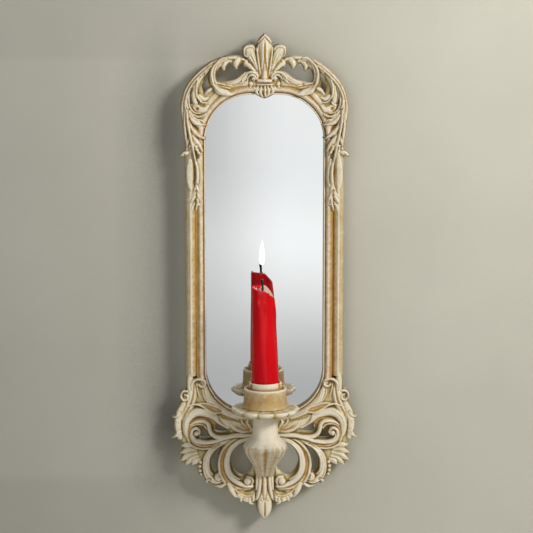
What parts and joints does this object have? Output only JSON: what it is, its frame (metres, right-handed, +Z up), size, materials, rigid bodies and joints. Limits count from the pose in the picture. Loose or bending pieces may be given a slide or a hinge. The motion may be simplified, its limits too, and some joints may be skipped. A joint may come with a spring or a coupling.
{
  "type": "wall sconce candle holder",
  "caption": "Tall round-cornered wall mirror in a moulded frame with a pierced leaf crest and apron, and a bracket carrying a lobed drip pan, a socket and a taper candle.",
  "frame": {"origin": "centre of the keyhole plate's round hole, on the plate's back face", "axes": "+Z up the wall, -Y out of the wall towards the room, X to the right seen from the room"},
  "size_m": [0.166, 0.0788, 0.433],
  "materials": {
    "painted_carving": "ivory paint over cast composition, gold and umber wash in the hollows, satin",
    "frame_wood": "bare softwood with a thin stain",
    "mirror_silver": "silvered glass",
    "hardboard": "pressed hardboard, dull",
    "brass_buttons": "stamped, slightly dulled",
    "zinc_plate": "zinc plated",
    "felt": "pressed wool felt",
    "painted_liner": "brass cup, painted ivory and washed with gold",
    "red_wax": null,
    "wick_cotton": "charred braided cotton"
  },
  "bodies": {
    "root": {"surround_moulding": "painted_carving", "left_stile_moulding": "painted_carving", "right_stile_moulding": "painted_carving", "crest_palmette": "painted_carving", "left_crest_leaf": "painted_carving", "right_crest_leaf": "painted_carving", "left_shoulder_leaf": "painted_carving", "right_shoulder_leaf": "painted_carving", "left_rail_husk": "painted_carving", "right_rail_husk": "painted_carving", "left_apron_scroll": "painted_carving", "right_apron_scroll": "painted_carving", "apron_pendant": "painted_carving", "bracket_arm": "painted_carving", "drip_pan": "painted_carving", "socket_drum": "painted_carving", "frame_core": "frame_wood", "mirror_glass": "mirror_silver", "backing_board": "hardboard", "turn_button_screws": "brass_buttons", "keyhole_plate": "zinc_plate", "keyhole_plate_screws": "zinc_plate", "bracket_screws": "zinc_plate", "socket_screw": "zinc_plate", "wall_pads": "felt", "socket_liner": "painted_liner"},
    "upper_left_button": {"upper_left_turn_button": "brass_buttons"},
    "upper_right_button": {"upper_right_turn_button": "brass_buttons"},
    "lower_left_button": {"lower_left_turn_button": "brass_buttons"},
    "lower_right_button": {"lower_right_turn_button": "brass_buttons"},
    "taper": {"candle": "red_wax", "candle_wick": "wick_cotton"}
  },
  "joints": [
    {"name": "upper_left_button_turn", "type": "hinge", "parent": "root", "child": "upper_left_button", "pos_m": [-0.06375, 0.0006, -0.0928], "axis": [0, 1, 0], "range_deg": [-90, 90]},
    {"name": "upper_right_button_turn", "type": "hinge", "parent": "root", "child": "upper_right_button", "pos_m": [0.06375, 0.0006, -0.0928], "axis": [0, 1, 0], "range_deg": [-90, 90]},
    {"name": "lower_left_button_turn", "type": "hinge", "parent": "root", "child": "lower_left_button", "pos_m": [-0.06375, 0.0006, -0.2328], "axis": [0, 1, 0], "range_deg": [-90, 90]},
    {"name": "lower_right_button_turn", "type": "hinge", "parent": "root", "child": "lower_right_button", "pos_m": [0.06375, 0.0006, -0.2328], "axis": [0, 1, 0], "range_deg": [-90, 90]},
    {"name": "candle_lift", "type": "slide", "parent": "root", "child": "taper", "axis": [0, 0, 1], "range_m": [0, 0.04]}
  ]
}
